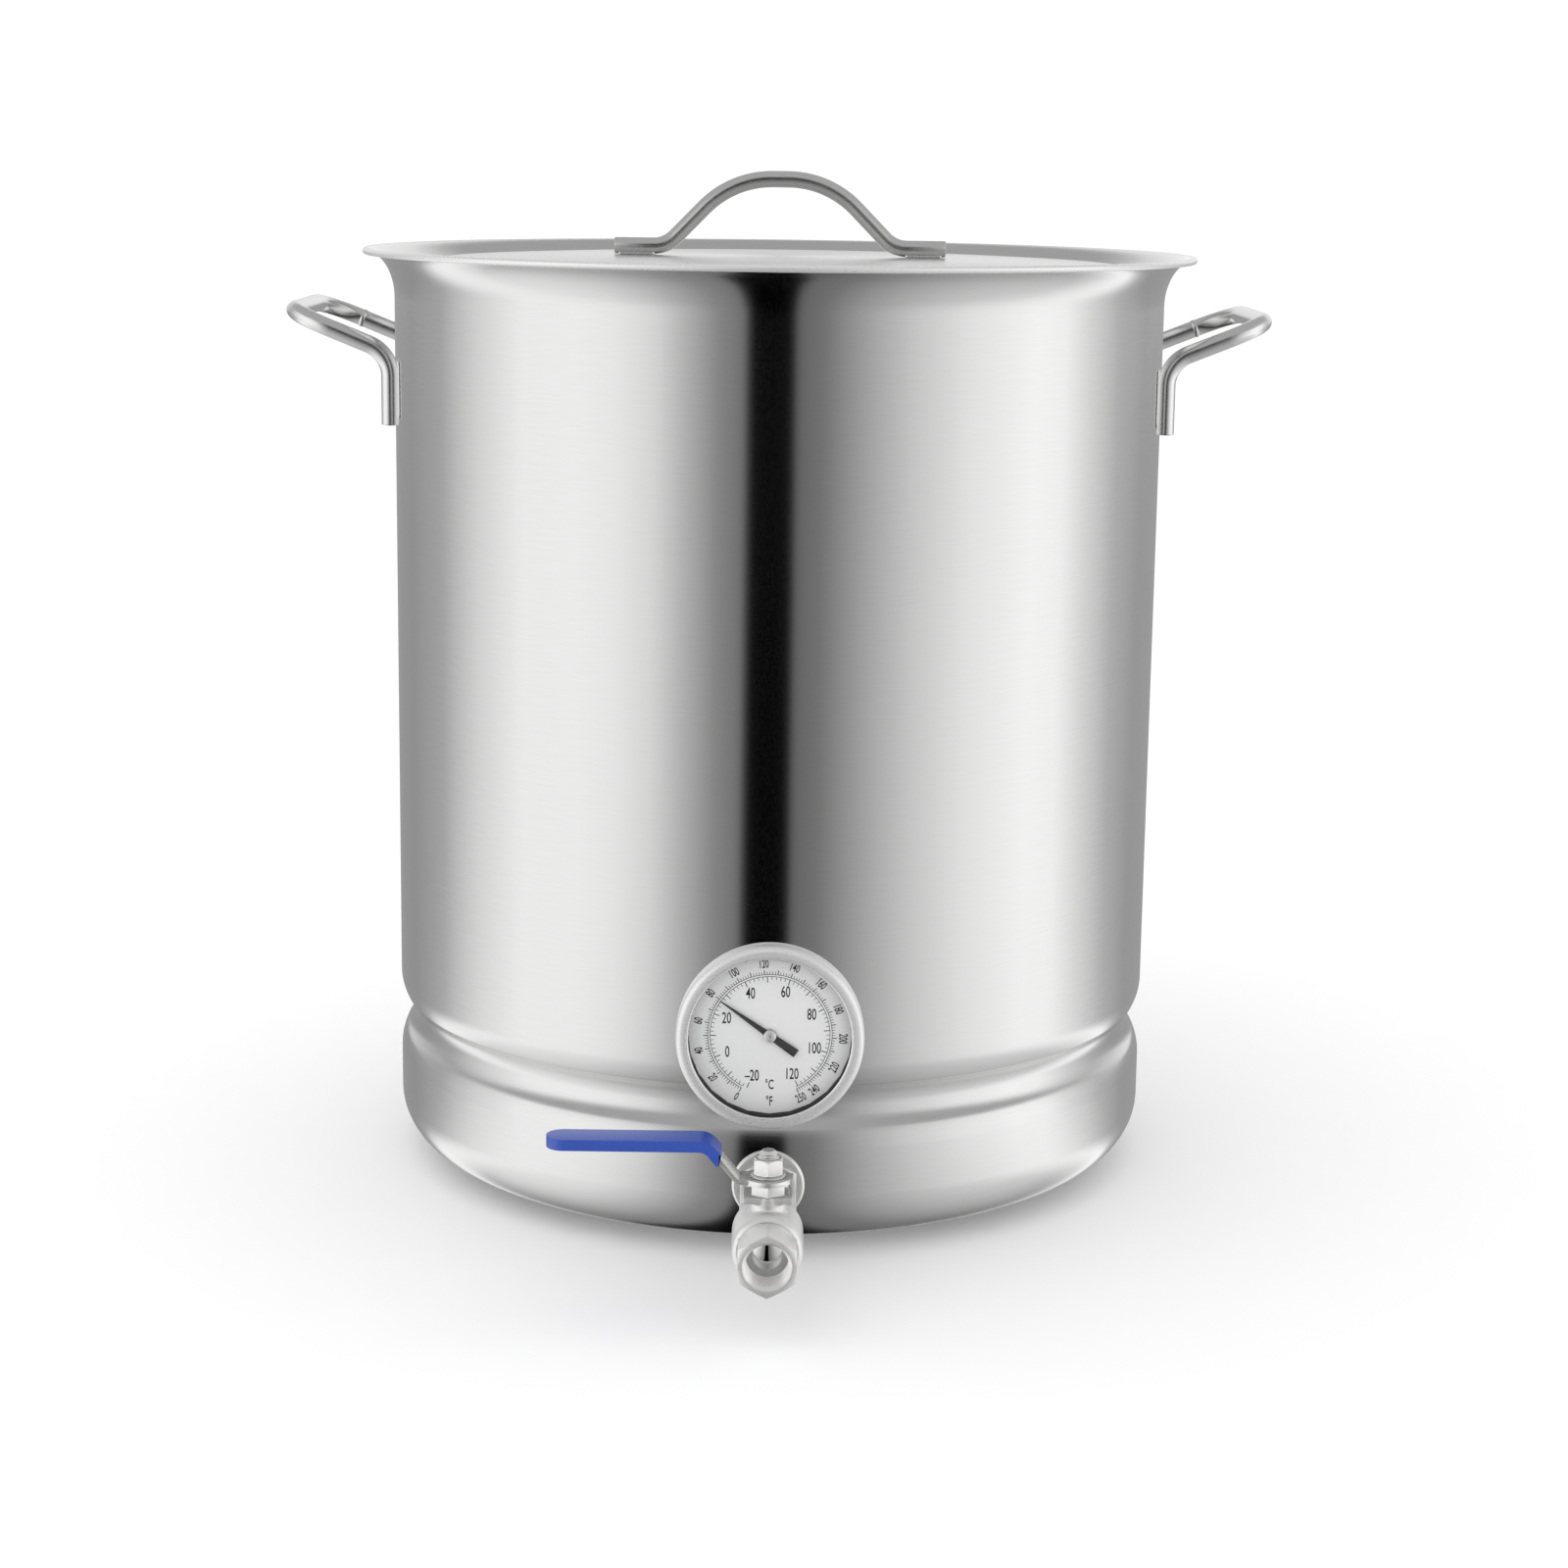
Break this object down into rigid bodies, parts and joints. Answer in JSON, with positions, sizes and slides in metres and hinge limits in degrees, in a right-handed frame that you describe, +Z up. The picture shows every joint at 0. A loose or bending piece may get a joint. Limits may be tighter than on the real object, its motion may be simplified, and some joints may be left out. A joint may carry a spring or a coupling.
{
  "type": "brew kettle",
  "caption": "Tall lidded steel brew kettle with two side handles, a dial thermometer and a lever ball valve low on the front, and a perforated false bottom.",
  "frame": {"origin": "centre of the flat underside of the base, on the surface the kettle stands on", "axes": "+Z up along the pot's axis, -Y out of the front through the valve and thermometer, +X to the right seen from the front"},
  "size_m": [0.5046, 0.53, 0.521],
  "materials": {
    "kettle_shell": "brushed stainless steel",
    "base_core": "plain aluminium",
    "base_cap": "satin stainless steel",
    "side_handle_left": "polished stainless rod",
    "side_handle_right": "polished stainless rod",
    "false_bottom": "satin stainless sheet",
    "lid_panel": "bright stainless sheet",
    "lid_handle": "polished stainless rod",
    "valve_outer_seal": "pale silicone",
    "valve_inner_seal": "pale silicone",
    "valve_locknut": "plain stainless steel",
    "thermo_outer_seal": "pale silicone",
    "thermo_inner_seal": "pale silicone",
    "thermo_locknut": "plain stainless steel",
    "bulkhead_nipple": "plain stainless steel",
    "flange_nut": "polished cast stainless steel",
    "valve_body": "polished cast stainless steel",
    "valve_end_cap": "polished cast stainless steel",
    "seat_front": "white PTFE",
    "seat_rear": "white PTFE",
    "ball": "mirror polished",
    "valve_stem": "plain stainless steel",
    "thrust_washer": "white PTFE",
    "stem_packing": "white PTFE",
    "gland_nut": "bright stainless steel",
    "lever": "bright stainless strip",
    "lever_grip": "blue dipped vinyl",
    "spring_washer": "plain stainless steel",
    "lever_nut": "bright stainless steel",
    "thermo_case": "satin stainless steel",
    "thermo_bezel": "bright stainless steel",
    "thermo_lens": "clear glass",
    "lens_gasket": "black rubber",
    "dial_plate": "matt white enamel",
    "pointer": "matt black",
    "pointer_hub": "bright steel",
    "pointer_shaft": "plain steel",
    "thermo_fitting": "plain stainless steel",
    "thermo_probe": "bright stainless tube",
    "bimetal_coil": "bimetal strip"
  },
  "bodies": {
    "kettle": {"kettle_shell": "kettle_shell", "base_core": "base_core", "base_cap": "base_cap", "side_handle_left": "side_handle_left", "side_handle_right": "side_handle_right", "valve_outer_seal": "valve_outer_seal", "valve_inner_seal": "valve_inner_seal", "valve_locknut": "valve_locknut", "thermo_outer_seal": "thermo_outer_seal", "thermo_inner_seal": "thermo_inner_seal", "thermo_locknut": "thermo_locknut", "bulkhead_nipple": "bulkhead_nipple", "flange_nut": "flange_nut", "valve_body": "valve_body", "valve_end_cap": "valve_end_cap", "seat_front": "seat_front", "seat_rear": "seat_rear", "thrust_washer": "thrust_washer", "stem_packing": "stem_packing", "gland_nut": "gland_nut", "thermo_case": "thermo_case", "thermo_bezel": "thermo_bezel", "thermo_lens": "thermo_lens", "lens_gasket": "lens_gasket", "dial_plate": "dial_plate", "thermo_fitting": "thermo_fitting", "thermo_probe": "thermo_probe", "bimetal_coil": "bimetal_coil"},
    "lid": {"lid_panel": "lid_panel", "lid_handle": "lid_handle"},
    "valve_spindle": {"ball": "ball", "valve_stem": "valve_stem", "lever": "lever", "lever_grip": "lever_grip", "spring_washer": "spring_washer", "lever_nut": "lever_nut"},
    "dial_pointer": {"pointer": "pointer", "pointer_hub": "pointer_hub", "pointer_shaft": "pointer_shaft"},
    "strainer": {"false_bottom": "false_bottom"}
  },
  "joints": [
    {"name": "lid_lift", "type": "slide", "parent": "kettle", "child": "lid", "axis": [0, 0, 1], "range_m": [0, 0.15]},
    {"name": "valve_turn", "type": "hinge", "parent": "kettle", "child": "valve_spindle", "pos_m": [0, -0.278, 0.04], "axis": [0, 0, 1], "range_deg": [0, 90]},
    {"name": "pointer_turn", "type": "hinge", "parent": "kettle", "child": "dial_pointer", "pos_m": [0, -0.242, 0.126], "axis": [0, 1, 0], "range_deg": [-96, 204], "stiffness_Nm_per_rad": 0.002},
    {"name": "false_bottom_lift", "type": "slide", "parent": "kettle", "child": "strainer", "axis": [0, 0, 1], "range_m": [0, 0.02]}
  ]
}
